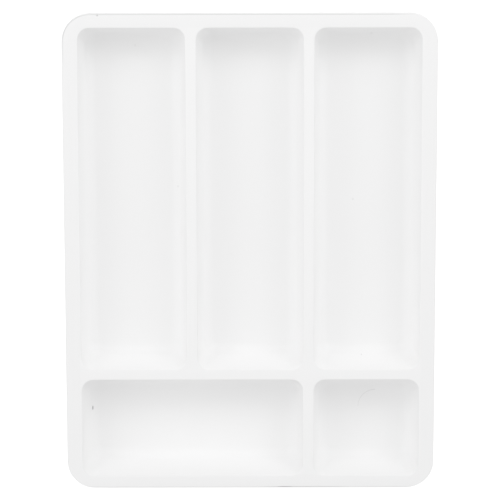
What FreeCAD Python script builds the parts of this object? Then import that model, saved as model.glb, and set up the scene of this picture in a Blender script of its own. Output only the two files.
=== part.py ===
import FreeCAD, Part
import math
import os
import Sketcher

# Cutlery tray: one thin plastic moulding, held as the zones that its form is made of.
# Millimetres, +Z up, +Y towards the long compartments, origin on the table under the tray's centre.
# The zones meet face to face on flat ground, so they touch all round and never overlap.

# Driving dimensions: name, value, meaning
SIZES = (
    ("tray_width", 308.0, "outside width, across the three long compartments"),
    ("tray_length", 400.0, "outside length, along the long compartments"),
    ("tray_height", 40.0, "underside of the floors to the top of the rim"),
    ("wall_thickness", 1.5, "thickness of the plastic, the same everywhere"),
    ("side_rim", 12.0, "flat rim at each side, from the outer edge to the lip"),
    ("back_rim", 11.3, "flat rim behind the long compartments"),
    ("front_rim", 9.5, "flat rim in front of the short compartments"),
    ("divider_flat", 7.3, "flat top of the dividers that run along Y"),
    ("cross_flat", 7.4, "flat top of the divider that runs along X"),
    ("short_length", 84.5, "mouth of the two short compartments, along Y"),
    ("lip_land", 1.2, "flat border that belongs to each compartment"),
    ("mouth_corner", 10.4, "corner radius of a compartment's mouth, in plan"),
    ("corner_margin", 2.0, "how much a floor's corner radius exceeds its rounding"),
    ("floor_round", 9.5, "rounding between wall and floor, inside"),
    ("lip_round", 1.0, "rounding where the plastic turns down from the flat, on the upper side"),
    ("bend_inside", 0.4, "rounding of the same turn, on the under side"),
    ("side_draft", 8.0, "degrees that the walls along Y lean outwards"),
    ("end_draft", 10.5, "degrees that the walls along X lean outwards"),
    ("rim_corner", 23.0, "corner radius of the outer edge, in plan"),
    ("skirt_drop", 6.0, "height of the turned-down outer edge"),
)

doc = FreeCAD.newDocument("cutlery_tray")
sheet = doc.addObject("Spreadsheet::Sheet", "dims")
for row, (alias, size, meaning) in enumerate(SIZES, start=1):
    sheet.set(f"A{row}", alias)
    sheet.set(f"B{row}", str(size))
    sheet.setAlias(f"B{row}", alias)
    sheet.set(f"C{row}", meaning)
doc.recompute()

# Sheet levels
TOP = "dims.tray_height"
SHEET = "dims.wall_thickness"
DECK_UNDER = f"({TOP} - {SHEET})"

# Runs in plan, for the walls along Y and for those along X: from the start of the lip to the line where
# the wall would meet the flat, the same on the under side, and from the top to the foot of the wall
DRAFTS = ("dims.side_draft", "dims.end_draft")
LIP_RUNS = [f"(dims.lip_round * tan(45 - {draft} / 2))" for draft in DRAFTS]
UNDER_LIP_RUNS = [f"((dims.lip_round - {SHEET}) * tan(45 - {draft} / 2))" for draft in DRAFTS]
WALL_RUNS = [f"({DECK_UNDER} * tan({draft}))" for draft in DRAFTS]
FLOOR_CORNER = "(dims.floor_round + dims.corner_margin)"
SKIRT_ZONE = f"({SHEET} + dims.bend_inside)"

# Plan of the compartments
INNER_WIDTH = "(dims.tray_width - 2 * dims.side_rim)"
LONG_WIDTH = f"(({INNER_WIDTH} - 2 * dims.divider_flat) / 3)"
WIDE_WIDTH = f"(2 * {LONG_WIDTH} + dims.divider_flat)"
SHORT_LENGTH = "dims.short_length"
INNER_LENGTH = "(dims.tray_length - dims.back_rim - dims.front_rim)"
LONG_LENGTH = f"({INNER_LENGTH} - dims.cross_flat - {SHORT_LENGTH})"
COLUMN_STEP = f"({LONG_WIDTH} + dims.divider_flat)"
FRONT_MOUTH = "(dims.front_rim - dims.tray_length / 2)"
INNER_Y = f"({FRONT_MOUTH} + {INNER_LENGTH} / 2)"
SHORT_Y = f"({FRONT_MOUTH} + {SHORT_LENGTH} / 2)"
CROSS_Y = f"({FRONT_MOUTH} + {SHORT_LENGTH} + dims.cross_flat / 2)"
LONG_Y = f"({CROSS_Y} + dims.cross_flat / 2 + {LONG_LENGTH} / 2)"

# Compartments: name, mouth width, mouth length, centre in X, centre in Y
WELLS = (
    ("long_compartment_left", LONG_WIDTH, LONG_LENGTH, f"-{COLUMN_STEP}", LONG_Y),
    ("long_compartment_middle", LONG_WIDTH, LONG_LENGTH, "0", LONG_Y),
    ("long_compartment_right", LONG_WIDTH, LONG_LENGTH, COLUMN_STEP, LONG_Y),
    ("wide_compartment", WIDE_WIDTH, SHORT_LENGTH, f"-{COLUMN_STEP} / 2", SHORT_Y),
    ("small_compartment", LONG_WIDTH, SHORT_LENGTH, COLUMN_STEP, SHORT_Y),
)

# Divider tops along Y: name, length of the compartments beside them, centre in X, centre in Y
STRIPS = (
    ("left_divider_top", LONG_LENGTH, f"-{COLUMN_STEP} / 2", LONG_Y),
    ("right_divider_top", LONG_LENGTH, f"{COLUMN_STEP} / 2", LONG_Y),
    ("lower_divider_top", SHORT_LENGTH, f"{COLUMN_STEP} / 2", SHORT_Y),
)

SAME_PLACE = 0.01


def value(expression):
    """The number that an expression gives with the sheet's present sizes."""
    return float(sheet.evalExpression(expression))


def inset(outline, run, end_run=None):
    """A width, a length and a corner radius, moved inwards; the ends may move by another run."""
    width, length, corner = outline
    return (f"({width} - 2 * {run})", f"({length} - 2 * {end_run or run})", f"({corner} - {run})")


def bind_place(thing, field, centre_x, centre_y, height):
    for axis, expression in zip("xyz", (centre_x, centre_y, height)):
        thing.setExpression(f"{field}.Base.{axis}", expression)


def new_body(label):
    body = doc.addObject("PartDesign::Body", label)
    body.Label = label
    return body


def level_sketch(body, name, height, centre_x="0", centre_y="0"):
    sketch = body.newObject("Sketcher::SketchObject", name)
    ground = [plane for plane in body.Origin.OriginFeatures if plane.Role == "XY_Plane"]
    sketch.AttachmentSupport = [(ground[0], "")]
    sketch.MapMode = "FlatFace"
    bind_place(sketch, "AttachmentOffset", centre_x, centre_y, height)
    return sketch


def bind_halves(sketch, width, length, sides):
    """Holds front, right, back and left lines at half the width and length from the centre."""
    front, right, back, left = sides
    origin = (-1, 1)
    spans = (
        ("right", "DistanceX", origin, (right, 1), width),
        ("left", "DistanceX", (left, 1), origin, width),
        ("back", "DistanceY", origin, (back, 1), length),
        ("front", "DistanceY", (front, 1), origin, length),
    )
    for name, kind, start, end, span in spans:
        index = sketch.addConstraint(Sketcher.Constraint(kind, *start, *end, value(span) / 2))
        sketch.renameConstraint(index, name)
        sketch.setExpression(f"Constraints.{name}", f"{span} / 2")
    for line, kind in zip(sides, ("Horizontal", "Vertical", "Horizontal", "Vertical")):
        sketch.addConstraint(Sketcher.Constraint(kind, line))


def rectangle(body, name, width, length, height, centre_x="0", centre_y="0"):
    sketch = level_sketch(body, name, height, centre_x, centre_y)
    half_x = value(width) / 2
    half_y = value(length) / 2
    corners = [FreeCAD.Vector(x * half_x, y * half_y, 0) for x, y in ((-1, -1), (1, -1), (1, 1), (-1, 1))]
    sides = [sketch.addGeometry(Part.LineSegment(corners[i], corners[(i + 1) % 4])) for i in range(4)]
    for i in range(4):
        sketch.addConstraint(Sketcher.Constraint("Coincident", sides[i], 2, sides[(i + 1) % 4], 1))
    bind_halves(sketch, width, length, sides)
    return sketch


def rounded_rectangle(body, name, outline, height, centre_x="0", centre_y="0"):
    sketch = level_sketch(body, name, height, centre_x, centre_y)
    width, length, corner = outline
    radius = value(corner)
    far_x = value(width) / 2
    far_y = value(length) / 2
    near_x = far_x - radius
    near_y = far_y - radius
    runs = (
        ((-near_x, -far_y), (near_x, -far_y)),
        ((far_x, -near_y), (far_x, near_y)),
        ((near_x, far_y), (-near_x, far_y)),
        ((-far_x, near_y), (-far_x, -near_y)),
    )
    centres = ((near_x, -near_y), (near_x, near_y), (-near_x, near_y), (-near_x, -near_y))
    sides = [sketch.addGeometry(Part.LineSegment(FreeCAD.Vector(*a), FreeCAD.Vector(*b))) for a, b in runs]
    turns = []
    quarter = math.pi / 2
    for i, centre in enumerate(centres):
        circle = Part.Circle(FreeCAD.Vector(*centre), FreeCAD.Vector(0, 0, 1), radius)
        turns.append(sketch.addGeometry(Part.ArcOfCircle(circle, (i - 1) * quarter, i * quarter)))
    for i in range(4):
        sketch.addConstraint(Sketcher.Constraint("Tangent", sides[i], 2, turns[i], 1))
        sketch.addConstraint(Sketcher.Constraint("Tangent", turns[i], 2, sides[(i + 1) % 4], 1))
    for turn in turns[1:]:
        sketch.addConstraint(Sketcher.Constraint("Equal", turns[0], turn))
    index = sketch.addConstraint(Sketcher.Constraint("Radius", turns[0], radius))
    sketch.renameConstraint(index, "corner")
    sketch.setExpression("Constraints.corner", corner)
    bind_halves(sketch, width, length, sides)
    return sketch


def pad(body, name, sketch, length):
    feature = body.newObject("PartDesign::Pad", name)
    feature.Profile = sketch
    feature.setExpression("Length", length)
    return feature


def cut_down(body, name, sketch):
    """Cuts from the sketch down through the whole body, and makes sure that it cut something."""
    doc.recompute()
    before = body.Shape.Volume
    feature = body.newObject("PartDesign::Pocket", name)
    feature.Profile = sketch
    feature.Type = "ThroughAll"
    doc.recompute()
    if body.Shape.Volume >= before:
        raise RuntimeError(f"{body.Label}: {name} cut nothing")
    return feature


def loft(body, kind, name, lower, upper):
    feature = body.newObject(kind, name)
    feature.Profile = lower
    feature.Sections = [upper]
    feature.Ruled = True
    return feature


def depth_inside(point, outline):
    """How far a point lies inside a centred outline, in plan."""
    width, length, corner = (value(size) for size in outline)
    beyond_x = max(abs(point.x) - width / 2 + corner, 0)
    beyond_y = max(abs(point.y) - length / 2 + corner, 0)
    return corner - (beyond_x ** 2 + beyond_y ** 2) ** 0.5


def round_loop(body, name, base, height, outline, radius):
    """Rounds the edges of a feature that lie at one height, clear inside an outline."""
    doc.recompute()
    names = []
    for number, edge in enumerate(base.Shape.Edges, start=1):
        middle = edge.valueAt((edge.FirstParameter + edge.LastParameter) / 2)
        box = edge.BoundBox
        level = max(abs(box.ZMin - value(height)), abs(box.ZMax - value(height))) < SAME_PLACE
        if level and depth_inside(middle, outline) > SAME_PLACE:
            names.append(f"Edge{number}")
    feature = body.newObject("PartDesign::Fillet", name)
    feature.Base = (base, names)
    feature.setExpression("Radius", radius)
    return feature


def make_well(label, width, length, centre_x, centre_y):
    """A compartment: a flat border, a rounded lip, leaning walls and a floor, all one thickness."""
    body = new_body(label)
    bind_place(body, "Placement", centre_x, centre_y, "0")
    mouth = (width, length, "dims.mouth_corner")
    border = inset(mouth, "-dims.lip_land")

    # Solid block first: border plate with a tapered cup under it
    plate = rounded_rectangle(body, f"{label}_border", border, DECK_UNDER)
    pad(body, f"{label}_plate", plate, SHEET)
    cup_top = inset(mouth, *UNDER_LIP_RUNS)
    cup_width, cup_length, _ = inset(cup_top, *WALL_RUNS)
    cup_floor = (cup_width, cup_length, f"({FLOOR_CORNER} + {SHEET})")
    under = rounded_rectangle(body, f"{label}_cup_bottom", cup_floor, "0")
    upper = rounded_rectangle(body, f"{label}_cup_top", cup_top, DECK_UNDER)
    cup = loft(body, "PartDesign::AdditiveLoft", f"{label}_cup", under, upper)

    # Hollow, one thickness inside the cup
    lip_edge = inset(mouth, *LIP_RUNS)
    floor_width, floor_length, _ = inset(lip_edge, *WALL_RUNS)
    floor_edge = (floor_width, floor_length, FLOOR_CORNER)
    bottom = rounded_rectangle(body, f"{label}_floor_edge", floor_edge, SHEET)
    opening = rounded_rectangle(body, f"{label}_lip_edge", lip_edge, TOP)
    hollow = loft(body, "PartDesign::SubtractiveLoft", f"{label}_hollow", bottom, opening)
    doc.recompute()
    if hollow.Shape.Volume >= cup.Shape.Volume:
        raise RuntimeError(f"{label}: the hollow cut nothing")

    # Roundings, those inside first, because the sharp hollow would break through a rounded cup
    lip = round_loop(body, f"{label}_lip", hollow, TOP, border, "dims.lip_round")
    floor = round_loop(body, f"{label}_floor", lip, SHEET, border, "dims.floor_round")
    base = round_loop(body, f"{label}_under_floor", floor, "0", border, f"dims.floor_round + {SHEET}")
    round_loop(body, f"{label}_under_lip", base, DECK_UNDER, border, "dims.bend_inside")
    return body


def cut_mouths(body):
    """Leaves the place of every compartment, with its border, free in a flat zone."""
    for label, width, length, centre_x, centre_y in WELLS:
        border = inset((width, length, "dims.mouth_corner"), "-dims.lip_land")
        mouth = rounded_rectangle(body, f"{body.Label}_{label}", border, TOP, centre_x, centre_y)
        cut_down(body, f"{body.Label}_{label}_cut", mouth)


OUTER_EDGE = ("dims.tray_width", "dims.tray_length", "dims.rim_corner")
WINDOW_WIDTH = f"({INNER_WIDTH} - 2 * dims.mouth_corner)"


def make_rim_flange():
    """The flat rim all round, with a short stub towards each end of the dividers."""
    body = new_body("rim_flange")
    outline = rounded_rectangle(body, "flange_outline", inset(OUTER_EDGE, SKIRT_ZONE), DECK_UNDER)
    pad(body, "flange_plate", outline, SHEET)
    window_length = f"({INNER_LENGTH} - 2 * dims.mouth_corner)"
    window = rectangle(body, "flange_window", WINDOW_WIDTH, window_length, TOP, "0", INNER_Y)
    cut_down(body, "flange_window_cut", window)
    cut_mouths(body)
    return body


def make_rim_skirt():
    """The outer edge of the rim, turned down all round."""
    body = new_body("rim_skirt")
    skirt_foot = f"({TOP} - dims.skirt_drop)"
    outline = rounded_rectangle(body, "skirt_outline", OUTER_EDGE, skirt_foot)
    block = pad(body, "skirt_block", outline, "dims.skirt_drop")
    around = inset(OUTER_EDGE, "-dims.skirt_drop")
    edge = round_loop(body, "skirt_edge", block, TOP, around, "dims.lip_round")

    inside = inset(OUTER_EDGE, SHEET)
    recess = rounded_rectangle(body, "skirt_inside", inside, skirt_foot)
    pocket = body.newObject("PartDesign::Pocket", "skirt_recess")
    pocket.Profile = recess
    pocket.Reversed = True
    pocket.setExpression("Length", f"dims.skirt_drop - {SHEET}")
    doc.recompute()
    if pocket.Shape.Volume >= edge.Shape.Volume:
        raise RuntimeError("rim_skirt: the recess cut nothing")
    round_loop(body, "skirt_under_edge", pocket, DECK_UNDER, OUTER_EDGE, "dims.bend_inside")

    flat = rounded_rectangle(body, "skirt_flat", inset(OUTER_EDGE, SKIRT_ZONE), TOP)
    cut_down(body, "skirt_flat_cut", flat)
    return body


def make_cross_divider_top():
    """The flat top of the divider along X, with its crossings of the other dividers."""
    body = new_body("cross_divider_top")
    depth = "(dims.cross_flat + 2 * dims.mouth_corner)"
    outline = rectangle(body, "cross_outline", WINDOW_WIDTH, depth, DECK_UNDER, "0", CROSS_Y)
    pad(body, "cross_plate", outline, SHEET)
    cut_mouths(body)
    return body


def make_strip(label, neighbour_length, centre_x, centre_y):
    """The flat top of a divider along Y, between the corners of the compartments beside it."""
    strip = doc.addObject("Part::Box", label)
    strip.Label = label
    width = "(dims.divider_flat - 2 * dims.lip_land)"
    length = f"({neighbour_length} - 2 * dims.mouth_corner)"
    strip.setExpression("Length", width)
    strip.setExpression("Width", length)
    strip.setExpression("Height", SHEET)
    bind_place(strip, "Placement", f"{centre_x} - {width} / 2", f"{centre_y} - {length} / 2", DECK_UNDER)
    return strip


sub_parts = [make_rim_flange(), make_rim_skirt(), make_cross_divider_top()]
sub_parts += [make_strip(*strip) for strip in STRIPS]
sub_parts += [make_well(*well) for well in WELLS]
doc.recompute()

for thing in doc.Objects:
    if "Invalid" in thing.State or "Error" in thing.State:
        raise RuntimeError(f"{thing.Label} failed: {thing.State}")
for part in sub_parts:
    if part.Shape.isNull() or not part.Shape.isValid() or len(part.Shape.Solids) != 1:
        raise RuntimeError(f"{part.Label} is not one valid solid")

os.makedirs("parts", exist_ok=True)
for part in sub_parts:
    part.Shape.exportStep(f"parts/{part.Label}.step")
    box = part.Shape.BoundBox
    print(f"{part.Label}: {part.Shape.Volume:.0f} mm3, "
          f"{box.XLength:.2f} x {box.YLength:.2f} x {box.ZLength:.2f} mm")
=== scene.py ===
import math

import bpy
import numpy as np
from mathutils import Matrix, Vector
from mathutils.geometry import delaunay_2d_cdt


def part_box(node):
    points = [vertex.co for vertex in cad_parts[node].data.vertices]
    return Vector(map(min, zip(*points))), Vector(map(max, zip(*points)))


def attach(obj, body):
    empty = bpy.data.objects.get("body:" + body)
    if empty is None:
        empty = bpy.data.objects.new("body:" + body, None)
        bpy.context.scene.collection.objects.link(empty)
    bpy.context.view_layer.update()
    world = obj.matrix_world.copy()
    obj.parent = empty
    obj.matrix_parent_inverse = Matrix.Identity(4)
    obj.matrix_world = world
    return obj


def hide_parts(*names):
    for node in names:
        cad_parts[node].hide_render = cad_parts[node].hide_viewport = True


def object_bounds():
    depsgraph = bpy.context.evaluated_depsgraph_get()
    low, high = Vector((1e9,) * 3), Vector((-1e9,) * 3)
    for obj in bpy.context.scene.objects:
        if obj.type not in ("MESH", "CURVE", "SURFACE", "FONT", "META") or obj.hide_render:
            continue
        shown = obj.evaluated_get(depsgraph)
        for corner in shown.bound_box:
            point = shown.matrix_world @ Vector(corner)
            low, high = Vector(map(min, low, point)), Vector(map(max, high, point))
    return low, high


# White cutlery tray: one sheet of plastic, drawn as a single smooth surface and then parted into its zones.
# Metres, +Z up, +Y towards the long compartments.
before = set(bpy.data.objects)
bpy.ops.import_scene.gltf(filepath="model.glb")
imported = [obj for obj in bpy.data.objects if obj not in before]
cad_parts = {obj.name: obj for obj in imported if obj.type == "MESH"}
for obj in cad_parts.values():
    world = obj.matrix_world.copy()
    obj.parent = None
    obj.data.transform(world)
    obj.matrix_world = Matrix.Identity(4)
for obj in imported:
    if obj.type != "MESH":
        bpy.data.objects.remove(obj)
cad_low, cad_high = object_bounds()

# Sizes of the plastic, the same as in the construction
MM = 0.001
SHEET = 1.5 * MM
LIP_LAND = 1.2 * MM
LIP_ROUND = 1.0 * MM
BEND_INSIDE = 0.4 * MM
SKIRT_ZONE = SHEET + BEND_INSIDE
MOUTH_CORNER = 10.4 * MM
FLOOR_ROUND = 9.5 * MM
FLOOR_CORNER = FLOOR_ROUND + 2.0 * MM
RIM_CORNER = 23.0 * MM
SIDE_DRAFT = math.radians(8.0)
END_DRAFT = math.radians(10.5)
MEAN_DRAFT = (SIDE_DRAFT + END_DRAFT) / 2
TOP = cad_high.z
SKIRT_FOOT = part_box("rim_skirt")[0].z

# Fineness of the meshes
SIDE_STEP = 3.0 * MM
LEAST_SIDE_STEPS = 4
DECK_STEP = 2.0 * MM
DECK_CLEARANCE = 0.6 * DECK_STEP
FLOOR_STEP = 6.0 * MM
CORNER_STEPS = 14
LIP_STEPS = 7
WALL_STEPS = 6
FLOOR_STEPS = 9
SKIRT_STEPS = 3
FOOT_STEPS = 6

# Triangulation: it fills the whole hull of its points and joins points that lie closer than this
FILL_HULL = 0
MERGE_DISTANCE = 1e-9

# Gentle crown of the flats, as a curvature of the surface, in 1/m, and the rounds that settle it
CROWN = 10.0
CROWN_ROUNDS = 400

WELLS = (
    "long_compartment_left",
    "long_compartment_middle",
    "long_compartment_right",
    "wide_compartment",
    "small_compartment",
)
DIVIDER_TOPS = ("left_divider_top", "right_divider_top", "lower_divider_top", "cross_divider_top")
RIM = "rim_flange"
SKIRT = "rim_skirt"


class Outline:
    """A rounded rectangle in plan, with the steps along its sides fixed, so that its rings match."""

    def __init__(self, low, high, corner):
        self.centre = np.array([(low.x + high.x) / 2, (low.y + high.y) / 2])
        self.half = np.array([(high.x - low.x) / 2, (high.y - low.y) / 2])
        self.corner = corner
        straight = 2 * (self.half - corner)
        self.steps = [max(LEAST_SIDE_STEPS, round(length / SIDE_STEP)) for length in straight]

    def ring(self, inset, corner):
        """Points of the outline moved inwards, by X and by Y, counterclockwise from the front left."""
        far = self.half - inset
        near = far - corner
        turn = np.linspace(0, math.pi / 2, CORNER_STEPS + 1)[1:-1]
        forward = np.array([1.0, 0.0])
        outward = np.array([0.0, -1.0])
        points = []
        for quarter in range(4):
            along = np.linspace(-1, 1, self.steps[quarter % 2] + 1)[:, None]
            edge = along * near * forward + far * outward
            hub = near * (forward + outward)
            angle = turn + (quarter - 1) * math.pi / 2
            arc = hub + corner * np.stack([np.cos(angle), np.sin(angle)], 1)
            points += [edge, arc]
            forward, outward = -outward, forward
        return np.concatenate(points) + self.centre

    def side_start(self, quarter):
        """Index in a ring of the first point of a side; the sides are front, right, back and left."""
        return sum(self.steps[side % 2] + CORNER_STEPS for side in range(quarter))

    def side_end(self, quarter):
        """Index in a ring of the last point of a side."""
        return self.side_start(quarter) + self.steps[quarter % 2]

    def depth(self, points, grow=0.0):
        """How far points lie inside the outline, grown by a border."""
        corner = self.corner + grow
        beyond = np.maximum(np.abs(points - self.centre) - self.half - grow + corner, 0)
        return corner - np.linalg.norm(beyond, axis=1)


class Sheet:
    """The whole sheet of plastic: points of its upper side, those of its under side, and faces by zone."""

    def __init__(self):
        self.points = np.zeros((0, 3))
        self.under = np.zeros((0, 3))
        self.faces = {}

    def add_points(self, plan, height, under_plan=None, under_height=None):
        """Adds points; the under side lies straight below them where it isn't given."""
        if under_plan is None:
            under_plan, under_height = plan, height - SHEET
        start = len(self.points)
        size = len(plan)
        upper = np.column_stack([plan, np.full(size, height)])
        under = np.column_stack([under_plan, np.full(size, under_height)])
        self.points = np.concatenate([self.points, upper])
        self.under = np.concatenate([self.under, under])
        return np.arange(start, len(self.points))

    def add_faces(self, zone, faces):
        self.faces.setdefault(zone, []).extend(faces)

    def join_rings(self, zone, outer, inner):
        """Four-sided faces between two rings with the same number of points."""
        following = np.roll(np.arange(len(outer)), -1)
        quads = np.stack([outer, outer[following], inner[following], inner], 1)
        self.add_faces(zone, [tuple(quad) for quad in quads.tolist()])


class Profile:
    """One side of the sheet from the lip of a compartment to its floor: its levels and roundings."""

    def __init__(self, top, bottom, lip_round, floor_round):
        self.top = top
        self.bottom = bottom
        self.lip_round = lip_round
        self.floor_round = floor_round

    def lip_line(self, draft):
        """Distance in from the mouth of the line where the wall would meet the flat."""
        return (LIP_ROUND - TOP + self.top) * math.tan((math.pi / 2 - draft) / 2)

    def run(self, height, draft):
        """Distance in from the mouth at a height."""
        half_turn = math.tan((math.pi / 2 - draft) / 2)
        lean = math.tan(draft)
        drop = self.top - height
        rise = height - self.bottom
        turned = 1 - math.sin(draft)
        if drop < self.lip_round * turned:
            angle = math.acos(1 - drop / self.lip_round)
            return self.lip_line(draft) - self.lip_round * (half_turn - math.sin(angle))
        if rise < self.floor_round * turned:
            angle = math.acos(1 - rise / self.floor_round)
            foot = self.lip_line(draft) + (self.top - self.bottom) * lean
            return foot + self.floor_round * (half_turn - math.sin(angle))
        return self.lip_line(draft) + drop * lean

    def corner(self, height):
        """Corner radius in plan at a height."""
        turned = 1 - math.sin(MEAN_DRAFT)
        wall_foot = self.bottom + self.floor_round * turned
        wall_top = self.top - self.lip_round * turned
        on_wall = min(max(height, wall_foot), wall_top)
        top_corner = MOUTH_CORNER - self.lip_line(MEAN_DRAFT)
        bottom_corner = FLOOR_CORNER + SHEET - self.bottom
        share = (self.top - on_wall) / (self.top - self.bottom)
        wall_corner = top_corner + share * (bottom_corner - top_corner)
        return wall_corner + self.run(on_wall, MEAN_DRAFT) - self.run(height, MEAN_DRAFT)

    def rings(self):
        """Distances in, by X and by Y, heights and corner radii, from the lip to the floor."""
        turn = math.pi / 2 - MEAN_DRAFT
        lip_turns = np.linspace(0, turn, LIP_STEPS + 1)
        floor_turns = np.linspace(turn, 0, FLOOR_STEPS + 1)
        lip = [self.top - self.lip_round * (1 - math.cos(angle)) for angle in lip_turns]
        floor = [self.bottom + self.floor_round * (1 - math.cos(angle)) for angle in floor_turns]
        wall = np.linspace(lip[-1], floor[0], WALL_STEPS + 1)[1:-1]
        rings = []
        for height in [*lip, *wall, *floor]:
            run = np.array([self.run(height, draft) for draft in (SIDE_DRAFT, END_DRAFT)])
            rings.append((run, height, self.corner(height)))
        return rings


UPPER = Profile(TOP, SHEET, LIP_ROUND, FLOOR_ROUND)
UNDER = Profile(TOP - SHEET, 0.0, BEND_INSIDE, FLOOR_ROUND + SHEET)


def grid_points(low, high, step):
    """Points of a staggered grid over a rectangle."""
    row_step = step * math.sqrt(3) / 2
    rows = np.arange(low[1], high[1], row_step)
    points = []
    for number, y in enumerate(rows):
        x = np.arange(low[0] + (number % 2) * step / 2, high[0], step)
        points.append(np.column_stack([x, np.full_like(x, y)]))
    return np.concatenate(points)


def triangulate(plan, edges):
    """Triangles over points in plan that keep the given edges; the points stay as they are."""
    points = [Vector(point) for point in plan]
    _, _, faces, sources, _, _ = delaunay_2d_cdt(points, edges, [], FILL_HULL, MERGE_DISTANCE)
    first = [source[0] for source in sources]
    return np.array([[first[corner] for corner in face] for face in faces])


def loop_edges(loop):
    """Edges of a closed loop of points."""
    return list(zip(loop.tolist(), np.roll(loop, -1).tolist()))


def add_well(sheet, name, outline):
    """Walls and floor of one compartment; returns the rings of points on its border and at its mouth."""
    border = sheet.add_points(outline.ring(-LIP_LAND, MOUTH_CORNER + LIP_LAND), TOP)
    rings = [border]
    for upper, under in zip(UPPER.rings(), UNDER.rings()):
        run, height, corner = upper
        under_run, under_height, under_corner = under
        plan = outline.ring(run, corner)
        under_plan = outline.ring(under_run, under_corner)
        rings.append(sheet.add_points(plan, height, under_plan, under_height))
    for outer, inner in zip(rings, rings[1:]):
        sheet.join_rings(name, outer, inner)
    floor_ring = rings[-1]
    floor_run, floor_height, _ = UPPER.rings()[-1]
    inner = outline.half - floor_run - FLOOR_STEP / 2
    grid = grid_points(outline.centre - inner, outline.centre + inner, FLOOR_STEP)
    inside = sheet.add_points(grid, floor_height)
    used = np.concatenate([floor_ring, inside])
    triangles = triangulate(sheet.points[used][:, :2], loop_edges(np.arange(len(floor_ring))))
    sheet.add_faces(name, [tuple(used[triangle].tolist()) for triangle in triangles])
    return border, rings[1]


def add_skirt(sheet, outline):
    """The turned-down outer edge; returns its first ring, on the flat, and its last, at the foot."""
    straight_end = SKIRT_FOOT + SHEET / 2
    right_angle = math.pi / 2
    turns = np.linspace(0, right_angle, LIP_STEPS + 1)
    # The under side has no flat ring of its own, so its bend takes one step more
    under_turns = np.linspace(0, right_angle, LIP_STEPS + 2)
    upper = [(SKIRT_ZONE, TOP)]
    upper += [(LIP_ROUND * (1 - math.sin(a)), TOP - LIP_ROUND * (1 - math.cos(a))) for a in turns]
    upper += [(0, height) for height in np.linspace(upper[-1][1], straight_end, SKIRT_STEPS + 1)[1:]]
    deck_under = TOP - SHEET
    under = [
        (SHEET + BEND_INSIDE * (1 - math.sin(a)), deck_under - BEND_INSIDE * (1 - math.cos(a)))
        for a in under_turns
    ]
    under += [(SHEET, height) for height in np.linspace(under[-1][1], straight_end, SKIRT_STEPS + 1)[1:]]
    rings = []
    for (inset, height), (under_inset, under_height) in zip(upper, under):
        plan = outline.ring(inset, RIM_CORNER - inset)
        under_plan = outline.ring(under_inset, RIM_CORNER - under_inset)
        rings.append(sheet.add_points(plan, height, under_plan, under_height))
    for inner, outer in zip(rings, rings[1:]):
        sheet.join_rings(SKIRT, outer, inner)
    return rings[0], rings[-1]


def zone_cuts(outlines, borders):
    """Edges across the dividers, from corner to corner of the compartments, where flat zones meet."""
    front, right, back, left = range(4)

    def start(name, side):
        return int(borders[name][outlines[name].side_start(side)])

    def end(name, side):
        return int(borders[name][outlines[name].side_end(side)])

    cuts = []
    left_well, middle_well, right_well, wide_well, small_well = WELLS
    neighbours = ((left_well, middle_well), (middle_well, right_well), (wide_well, small_well))
    for west, east in neighbours:
        cuts.append((start(west, right), end(east, left)))
        cuts.append((end(west, right), start(east, left)))
    cuts.append((start(left_well, front), end(wide_well, back)))
    cuts.append((end(right_well, front), start(small_well, back)))
    return cuts


def in_box(node, points):
    """Which points in plan lie inside a node's box."""
    low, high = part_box(node)
    return (points > np.array(low)[:2]).all(1) & (points < np.array(high)[:2]).all(1)


def add_deck(sheet, rim_outline, rim_ring, outlines, borders):
    """The flat between the outer edge and the compartments, zone by zone."""
    low = rim_outline.centre - rim_outline.half
    high = rim_outline.centre + rim_outline.half
    grid = grid_points(low, high, DECK_STEP)
    free = rim_outline.depth(grid) > SKIRT_ZONE + DECK_CLEARANCE
    for outline in outlines.values():
        free &= outline.depth(grid, LIP_LAND) < -DECK_CLEARANCE
    inside = sheet.add_points(grid[free], TOP)

    loops = [rim_ring] + [borders[name] for name in WELLS]
    used = np.concatenate(loops + [inside])
    place = {int(index): number for number, index in enumerate(used)}
    edges = [edge for loop in loops for edge in loop_edges(loop)] + zone_cuts(outlines, borders)
    local_edges = [(place[a], place[b]) for a, b in edges]
    triangles = used[triangulate(sheet.points[used][:, :2], local_edges)]

    middles = sheet.points[triangles].mean(1)[:, :2]
    keep = rim_outline.depth(middles) > SKIRT_ZONE
    for outline in outlines.values():
        keep &= outline.depth(middles, LIP_LAND) < 0
    triangles = triangles[keep]
    middles = middles[keep]
    left = np.ones(len(triangles), bool)
    for node in DIVIDER_TOPS:
        chosen = left & in_box(node, middles)
        sheet.add_faces(node, [tuple(t) for t in triangles[chosen].tolist()])
        left &= ~chosen
    sheet.add_faces(RIM, [tuple(t) for t in triangles[left].tolist()])
    return triangles, inside


def crown_flats(sheet, triangles, free):
    """Lifts the free points to a gentle, evenly curved crown between the edges that stay."""
    points = sheet.points
    weights = np.zeros(len(points))
    areas = np.zeros(len(points))
    pairs = []
    for corner in range(3):
        a, b, c = (triangles[:, (corner + k) % 3] for k in range(3))
        to_b = (points[b] - points[a])[:, :2]
        to_c = (points[c] - points[a])[:, :2]
        cross = to_b[:, 0] * to_c[:, 1] - to_b[:, 1] * to_c[:, 0]
        # Half the cotangent of the corner's angle is the pull between the other two points
        share = np.maximum((to_b * to_c).sum(1) / cross, 0) / 2
        pairs.append((b, c, share))
        np.add.at(weights, b, share)
        np.add.at(weights, c, share)
        np.add.at(areas, a, cross / 6)
    lift = np.zeros(len(points))
    for _ in range(CROWN_ROUNDS):
        total = areas * CROWN
        for b, c, share in pairs:
            np.add.at(total, b, share * lift[c])
            np.add.at(total, c, share * lift[b])
        lift[free] = total[free] / weights[free]
    points[:, 2] += lift
    sheet.under[:, 2] += lift


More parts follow.
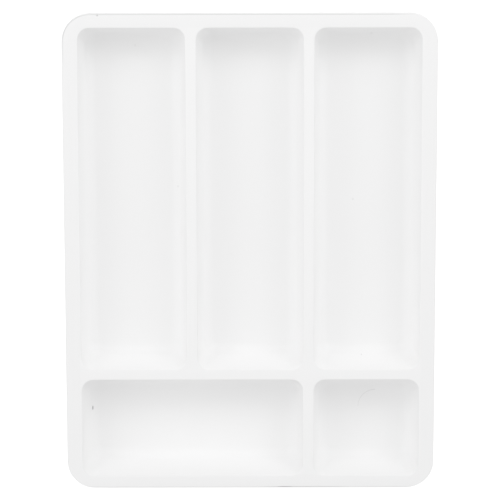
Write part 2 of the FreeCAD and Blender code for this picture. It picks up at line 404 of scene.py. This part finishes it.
def smooth_normals(points, zones):
    """Area-weighted normals over one side of the whole sheet, so that no zone border shows."""
    normals = np.zeros_like(points)
    for faces in zones.values():
        for count in (3, 4):
            group = np.array([face for face in faces if len(face) == count])
            if not len(group):
                continue
            corners = points[group]
            area = np.cross(corners[:, 2] - corners[:, 0], corners[:, count - 1] - corners[:, 1])
            for k in range(count):
                np.add.at(normals, group[:, k], area)
    return normals / np.linalg.norm(normals, axis=1)[:, None]


def border_edges(faces):
    """Edges that only one face of a zone has, in that face's direction."""
    edges = {}
    for face in faces:
        for a, b in zip(face, face[1:] + face[:1]):
            edges[(a, b)] = True
    return [(a, b) for a, b in edges if (b, a) not in edges]


def zone_mesh(name, sheet, normals, under_normals, foot_ring):
    """A closed piece of the sheet: its upper side, its under side and its borders."""
    faces = sheet.faces[name]
    used = sorted({index for face in faces for index in face})
    upper = {index: number for number, index in enumerate(used)}
    count = len(used)
    vertices = [*sheet.points[used].tolist(), *sheet.under[used].tolist()]
    polygons = []
    corner_normals = []
    for face in faces:
        local = [upper[index] for index in face]
        polygons.append(local)
        corner_normals += [normals[index] for index in face]
        polygons.append([k + count for k in reversed(local)])
        corner_normals += [-under_normals[index] for index in reversed(face)]

    foot = set(foot_ring.tolist())
    round_edge = {}

    def foot_point(index, step):
        """A point of the half-round foot of the skirt, and its normal."""
        angle = math.pi * step / FOOT_STEPS
        direction = normals[index] * math.cos(angle) - np.array([0, 0, math.sin(angle)])
        if step == 0:
            return upper[index], direction
        if step == FOOT_STEPS:
            return upper[index] + count, direction
        if (index, step) not in round_edge:
            round_edge[index, step] = len(vertices)
            middle = (sheet.points[index] + sheet.under[index]) / 2
            vertices.append((middle + SHEET / 2 * direction).tolist())
        return round_edge[index, step], direction

    for a, b in border_edges(faces):
        if a in foot and b in foot:
            for step in range(FOOT_STEPS):
                quad = ((b, step), (a, step), (a, step + 1), (b, step + 1))
                corners = [foot_point(index, at) for index, at in quad]
                polygons.append([corner[0] for corner in corners])
                corner_normals += [corner[1] for corner in corners]
        else:
            wall = [upper[b], upper[a], upper[a] + count, upper[b] + count]
            along = sheet.points[b] - sheet.points[a]
            side = np.cross(along, normals[a])
            polygons.append(wall)
            corner_normals += [side / np.linalg.norm(side)] * 4

    mesh = bpy.data.meshes.new(name + "_shell")
    mesh.from_pydata(vertices, [], polygons)
    mesh.polygons.foreach_set("use_smooth", [True] * len(polygons))
    mesh.normals_split_custom_set([Vector(normal) for normal in corner_normals])
    piece = bpy.data.objects.new(name + "_shell", mesh)
    bpy.context.scene.collection.objects.link(piece)
    return piece


def build_tray():
    """All zones of the tray, as pieces that follow the construction's nodes."""
    sheet = Sheet()
    rim_low, rim_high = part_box(SKIRT)
    rim_outline = Outline(rim_low, rim_high, RIM_CORNER)
    rim_ring, foot_ring = add_skirt(sheet, rim_outline)
    outlines = {}
    borders = {}
    lands = []
    land = Vector((LIP_LAND, LIP_LAND, 0))
    for name in WELLS:
        low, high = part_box(name)
        outlines[name] = Outline(low + land, high - land, MOUTH_CORNER)
        border, mouth = add_well(sheet, name, outlines[name])
        borders[name] = border
        following = np.roll(np.arange(len(border)), -1)
        lands.append(np.stack([border, border[following], mouth[following]], 1))
        lands.append(np.stack([border, mouth[following], mouth], 1))
    deck, inside = add_deck(sheet, rim_outline, rim_ring, outlines, borders)
    free = np.concatenate([inside] + [borders[name] for name in WELLS])
    crown_flats(sheet, np.concatenate([deck] + lands), free)
    normals = smooth_normals(sheet.points, sheet.faces)
    under_normals = smooth_normals(sheet.under, sheet.faces)
    return {name: zone_mesh(name, sheet, normals, under_normals, foot_ring) for name in sheet.faces}


# Look of the plastic: white with faint clouds, satin with rubbed areas, and a fine grain
WHITE = 0.95
WHITE_SPREAD = 0.002
CLOUD_SCALE = 18.0
CLOUD_DETAIL = 2.0
SHEEN = 0.25
SATIN = 0.295
SATIN_SPREAD = 0.015
RUB_SCALE = 40.0
RUB_DETAIL = 1.0
GRAIN_SCALE = 1100.0
GRAIN_DETAIL = 2.0
GRAIN_DEPTH = 0.002 * MM
NOISE_RANGE = (0.3, 0.7)

# Painted shade: the top of the rim is painted a touch greyer than the wells; the tone sets in between two
# distances from the outer edge,
# negative inwards, and between two heights
RIM_PAINTED_SHADE = 0.025
RIM_PAINTED_SHADE_START = (-12.5 * MM, -11.0 * MM)
RIM_PAINTED_SHADE_HEIGHT = (TOP - 1.5 * MM, TOP - 0.8 * MM)

# A thin painted shadow line near the back edge: it sets in between two places along Y and ends between two
# along X
PAINTED_SHADOW_LINE_INSET = 1.1 * MM
PAINTED_SHADOW_LINE_HALF = 0.5 * MM
PAINTED_SHADOW_LINE_TONE = 0.32
PAINTED_SHADOW_LINE_BACK = (150.0 * MM, 185.0 * MM)
PAINTED_SHADOW_LINE_RIGHT = (115.0 * MM, 140.0 * MM)

# A curved hairline scratch on the floor of the small compartment: its circle, line width and depth of tone,
# and the share of the tone that is left at its front end
SCRATCH_CENTRE = Vector((106.5, -138.9, 0)) * MM
SCRATCH_RADIUS = 14.7 * MM
SCRATCH_WIDTH = 0.7 * MM
SCRATCH_TONE = 0.36
SCRATCH_FADE = 0.5

# Small marks of use and dust, and painted shadow along the front edge: centre and half sizes in
# millimetres, and depth of tone; the tone is even in the core
MARK_CORE = 0.6
MARKS = {
    "tick_in_wide_compartment": ((-134.4, -139.2, 4.5), (0.65, 2.2, 3.0), 0.85),
    "speck_on_back_edge": ((-124.4, 198.4, 40.0), (1.1, 1.1, 1.5), 0.45),
    # Painted shadow along the front edge: a thin line, a darker patch and a darker spot
    "painted_shadow_along_front_edge": ((0.0, -199.1, 40.0), (400.0, 0.5, 1.5), 0.14),
    "painted_shadow_patch_on_front_edge": ((45.0, -199.1, 40.0), (48.0, 0.5, 1.5), 0.4),
    "painted_shadow_spot_on_front_edge": ((29.0, -199.1, 40.0), (9.0, 0.5, 1.5), 0.72),
    "dust_on_left_wall": ((-60.5, 51.7, 3.8), (1.1, 1.1, 2.0), 0.12),
    "dust_on_right_floor": ((86.5, 40.2, 1.5), (1.1, 1.1, 1.0), 0.13),
    "dust_on_right_back_wall": ((101.0, 180.3, 5.1), (1.4, 1.2, 2.0), 0.12),
    "dust_on_right_front_wall": ((94.2, -92.0, 9.0), (0.6, 0.6, 2.0), 0.32),
    "dust_on_left_floor": ((-95.4, 170.2, 1.5), (1.0, 1.3, 1.0), 0.09),
}


def add_node(tree, kind, inputs=None, **settings):
    """A shader node with its settings and inputs; an input is a value or another node's output."""
    node = tree.nodes.new(kind)
    for name, value in settings.items():
        setattr(node, name, value)
    for name, value in (inputs or {}).items():
        if isinstance(value, bpy.types.NodeSocket):
            tree.links.new(value, node.inputs[name])
        else:
            node.inputs[name].default_value = value
    return node


def add_math(tree, operation, first, second=0.0):
    """The result of a calculation with one or two numbers."""
    return add_node(tree, "ShaderNodeMath", {0: first, 1: second}, operation=operation).outputs[0]


def add_vector_math(tree, operation, first, second=(0, 0, 0)):
    """The result of a calculation with one or two vectors."""
    node = add_node(tree, "ShaderNodeVectorMath", {0: first, 1: second}, operation=operation)
    return node.outputs["Value" if operation == "LENGTH" else "Vector"]


def add_remap(tree, value, source, target):
    """A value carried from one range to another, and held at its ends."""
    inputs = {
        "Value": value,
        "From Min": source[0],
        "From Max": source[1],
        "To Min": target[0],
        "To Max": target[1],
    }
    return add_node(tree, "ShaderNodeMapRange", inputs).outputs["Result"]


def add_noise(tree, place, scale, detail):
    """Noise about 0.5, most of it within NOISE_RANGE."""
    inputs = {"Vector": place, "Scale": scale, "Detail": detail}
    return add_node(tree, "ShaderNodeTexNoise", inputs).outputs["Fac"]


def mark_mask(tree, place, centre, half_size):
    """1 in the core of a small ellipsoid, falling to 0 at its edge."""
    offset = add_vector_math(tree, "SUBTRACT", place, Vector(centre) * MM)
    shrunk = add_vector_math(tree, "DIVIDE", offset, Vector(half_size) * MM)
    return add_remap(tree, add_vector_math(tree, "LENGTH", shrunk), (MARK_CORE, 1.0), (1.0, 0.0))


def outline_distance(tree, place):
    """How far a place lies outside the rim's outer outline in plan, negative inside it."""
    corner_centre = Vector((cad_high.x - RIM_CORNER, cad_high.y - RIM_CORNER, 0))
    flat = add_vector_math(tree, "MULTIPLY", place, (1, 1, 0))
    past = add_vector_math(tree, "SUBTRACT", add_vector_math(tree, "ABSOLUTE", flat), corner_centre)
    outside = add_vector_math(tree, "LENGTH", add_vector_math(tree, "MAXIMUM", past))
    parts = add_node(tree, "ShaderNodeSeparateXYZ", {"Vector": past})
    larger = add_math(tree, "MAXIMUM", parts.outputs["X"], parts.outputs["Y"])
    inside = add_math(tree, "MINIMUM", larger)
    return add_math(tree, "SUBTRACT", add_math(tree, "ADD", outside, inside), RIM_CORNER)


def painted_rim_shade(tree, place):
    """The depth of painted shade on top of the rim, with the thin painted shadow line near its back edge.
    """
    distance = outline_distance(tree, place)
    parts = add_node(tree, "ShaderNodeSeparateXYZ", {"Vector": place})
    on_top = add_remap(tree, parts.outputs["Z"], RIM_PAINTED_SHADE_HEIGHT, (0.0, 1.0))
    tone = add_remap(tree, distance, RIM_PAINTED_SHADE_START, (0.0, RIM_PAINTED_SHADE))
    # Painted shadow line near the back edge, held to the back and to the left part
    across = add_math(tree, "ABSOLUTE", add_math(tree, "ADD", distance, PAINTED_SHADOW_LINE_INSET))
    line = add_remap(tree, across, (MARK_CORE * PAINTED_SHADOW_LINE_HALF, PAINTED_SHADOW_LINE_HALF), (PAINTED_SHADOW_LINE_TONE, 0.0))
    behind = add_remap(tree, parts.outputs["Y"], PAINTED_SHADOW_LINE_BACK, (0.0, 1.0))
    left = add_remap(tree, parts.outputs["X"], PAINTED_SHADOW_LINE_RIGHT, (1.0, 0.0))
    for limit in (behind, left):
        line = add_math(tree, "MULTIPLY", line, limit)
    return add_math(tree, "MULTIPLY", add_math(tree, "MAXIMUM", tone, line), on_top)


def scratch_mask(tree, place):
    """A quarter of a thin circle on a floor, at the back left of its centre, fading towards the front."""
    offset = add_vector_math(tree, "SUBTRACT", place, SCRATCH_CENTRE)
    level = add_vector_math(tree, "MULTIPLY", offset, (1, 1, 0))
    across = add_math(tree, "SUBTRACT", add_vector_math(tree, "LENGTH", level), SCRATCH_RADIUS)
    line = add_remap(tree, add_math(tree, "ABSOLUTE", across), (0, SCRATCH_WIDTH / 2), (1.0, 0.0))
    parts = add_node(tree, "ShaderNodeSeparateXYZ", {"Vector": offset})
    left = add_math(tree, "LESS_THAN", parts.outputs["X"], 0.0)
    behind = add_math(tree, "GREATER_THAN", parts.outputs["Y"], 0.0)
    upper_side = add_math(tree, "GREATER_THAN", parts.outputs["Z"], SHEET / 2)
    fade = add_remap(tree, parts.outputs["Y"], (0.0, SCRATCH_RADIUS), (SCRATCH_FADE, 1.0))
    mask = line
    for limit in (left, behind, upper_side, fade):
        mask = add_math(tree, "MULTIPLY", mask, limit)
    return mask


def white_plastic():
    """Satin moulded plastic: an even white with a fine grain, faint rubbed areas and a few small marks, and
    painted shade on the rim's top with painted shadow lines along its back and front edges.
    """
    material = bpy.data.materials.new("white_plastic")
    material.use_nodes = True
    tree = material.node_tree
    shader = tree.nodes["Principled BSDF"]
    shader.inputs["Specular IOR Level"].default_value = SHEEN
    place = add_node(tree, "ShaderNodeTexCoord").outputs["Object"]

    cloud = add_noise(tree, place, CLOUD_SCALE, CLOUD_DETAIL)
    white = add_remap(tree, cloud, NOISE_RANGE, (WHITE - WHITE_SPREAD, WHITE + WHITE_SPREAD))
    dark = add_math(tree, "MULTIPLY", scratch_mask(tree, place), SCRATCH_TONE)
    # Painted shade on the rim's top and a painted shadow line near its back edge
    dark = add_math(tree, "MAXIMUM", dark, painted_rim_shade(tree, place))
    # Marks: dust, a tick and a speck, and painted shadow along the front edge
    for centre, half_size, tone in MARKS.values():
        mark = add_math(tree, "MULTIPLY", mark_mask(tree, place, centre, half_size), tone)
        dark = add_math(tree, "MAXIMUM", dark, mark)
    unmarked_and_unshaded = add_math(tree, "SUBTRACT", 1.0, dark)
    tree.links.new(add_math(tree, "MULTIPLY", white, unmarked_and_unshaded), shader.inputs["Base Color"])

    rubbed = add_noise(tree, place, RUB_SCALE, RUB_DETAIL)
    satin = add_remap(tree, rubbed, NOISE_RANGE, (SATIN - SATIN_SPREAD, SATIN + SATIN_SPREAD))
    tree.links.new(satin, shader.inputs["Roughness"])

    grain = add_noise(tree, place, GRAIN_SCALE, GRAIN_DETAIL)
    bump = add_node(tree, "ShaderNodeBump", {"Height": grain, "Distance": GRAIN_DEPTH})
    tree.links.new(bump.outputs["Normal"], shader.inputs["Normal"])
    return material


# Floor: half its width in metres, how far it lies below the tray, and its look
FLOOR_HALF = 3.0
FLOOR_DROP = 0.2 * MM
FLOOR_COLOUR = (0.95, 0.95, 0.95, 1)
FLOOR_ROUGHNESS = 0.8
FLOOR_GLOW = 0.7
WHITE_LIGHT = (1, 1, 1, 1)


def add_floor():
    """A plain pale floor that glows a little, so that it stays white in the picture."""
    mesh = bpy.data.meshes.new("floor")
    corners = [(x * FLOOR_HALF, y * FLOOR_HALF, 0) for x, y in ((-1, -1), (1, -1), (1, 1), (-1, 1))]
    mesh.from_pydata(corners, [], [(0, 1, 2, 3)])
    floor = bpy.data.objects.new("floor", mesh)
    floor.location.z = -FLOOR_DROP
    bpy.context.scene.collection.objects.link(floor)
    material = bpy.data.materials.new("pale_floor")
    material.use_nodes = True
    shader = material.node_tree.nodes["Principled BSDF"]
    shader.inputs["Base Color"].default_value = FLOOR_COLOUR
    shader.inputs["Roughness"].default_value = FLOOR_ROUGHNESS
    shader.inputs["Emission Color"].default_value = WHITE_LIGHT
    shader.inputs["Emission Strength"].default_value = FLOOR_GLOW
    mesh.materials.append(material)
    # The floor lends the tray no light
    floor.visible_diffuse = False


# Square soft boxes round the tray: azimuth from +Y towards +X, elevation, size in metres, watts
SOFT_BOXES = {
    "left": (270, 45, 1.5, 7.01),
    "back_right": (45, 38, 0.7, 6.42),
    "back_left": (315, 38, 0.7, 5.44),
    "back_high": (0, 60, 1.5, 5.41),
    "back_low": (0, 35, 1.5, 3.84),
    "right": (90, 45, 1.5, 3.43),
    "front": (180, 50, 1.5, 3.35),
    "left_low": (290, 28, 0.7, 2.56),
    "back_right_high": (45, 52, 0.7, 1.93),
    "front_left_low": (225, 28, 0.7, 1.86),
    "front_right_low": (135, 28, 0.7, 1.79),
    "right_low": (90, 25, 0.7, 1.68),
    "back_right_low": (45, 25, 0.7, 1.43),
}
BOX_DISTANCE = 2.0
DOME_STRENGTH = 0.169


def add_light():
    """Soft boxes that face the tray, and an even dome of light."""
    world = bpy.data.worlds.new("studio")
    bpy.context.scene.world = world
    world.use_nodes = True
    background = world.node_tree.nodes["Background"]
    background.inputs["Color"].default_value = WHITE_LIGHT
    background.inputs["Strength"].default_value = DOME_STRENGTH
    for name, (azimuth, elevation, size, power) in SOFT_BOXES.items():
        data = bpy.data.lights.new(name + "_box", "AREA")
        data.shape = "SQUARE"
        data.size = size
        data.energy = power
        box = bpy.data.objects.new(name + "_box", data)
        turn = math.radians(azimuth)
        rise = math.radians(elevation)
        level = math.cos(rise)
        direction = Vector((math.sin(turn) * level, math.cos(turn) * level, math.sin(rise)))
        box.location = direction * BOX_DISTANCE
        aim = Vector((0, 0, TOP)) - box.location
        box.rotation_euler = aim.to_track_quat("-Z", "Y").to_euler()
        bpy.context.scene.collection.objects.link(box)


# Camera: the photograph looks down from slightly behind the tray
IMAGE_PIXELS = 500
FOCAL_PIXELS = 2518
SENSOR_WIDTH = 36.0
CAMERA_TILT = math.radians(10.2)
CAMERA_ROLL = math.radians(0.10)
CAMERA_DISTANCE = 2088 * MM
CAMERA_AIM = Vector((-0.1 * MM, 3.67 * MM, TOP))

# The photograph is a bright, high-key picture: its tones are lifted by this gamma
HIGH_KEY = 2.0


def add_camera():
    """The photograph's camera, with its slight roll."""
    data = bpy.data.cameras.new("camera")
    data.sensor_width = SENSOR_WIDTH
    data.lens = FOCAL_PIXELS / IMAGE_PIXELS * SENSOR_WIDTH
    camera = bpy.data.objects.new("camera", data)
    back = Vector((0, math.sin(CAMERA_TILT), math.cos(CAMERA_TILT)))
    camera.location = CAMERA_AIM + back * CAMERA_DISTANCE
    up = Vector((0, math.cos(CAMERA_TILT), -math.sin(CAMERA_TILT)))
    right = up.cross(back)
    turn = Matrix((right, up, back)).transposed()
    camera.rotation_euler = (turn @ Matrix.Rotation(-CAMERA_ROLL, 3, "Z")).to_euler()
    bpy.context.scene.collection.objects.link(camera)
    bpy.context.scene.camera = camera


plastic = white_plastic()
for node, piece in build_tray().items():
    piece.data.materials.append(plastic)
    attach(piece, "root")
    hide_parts(node)
add_floor()
add_light()
add_camera()
bpy.context.scene.view_settings.view_transform = "Standard"
bpy.context.scene.view_settings.gamma = HIGH_KEY
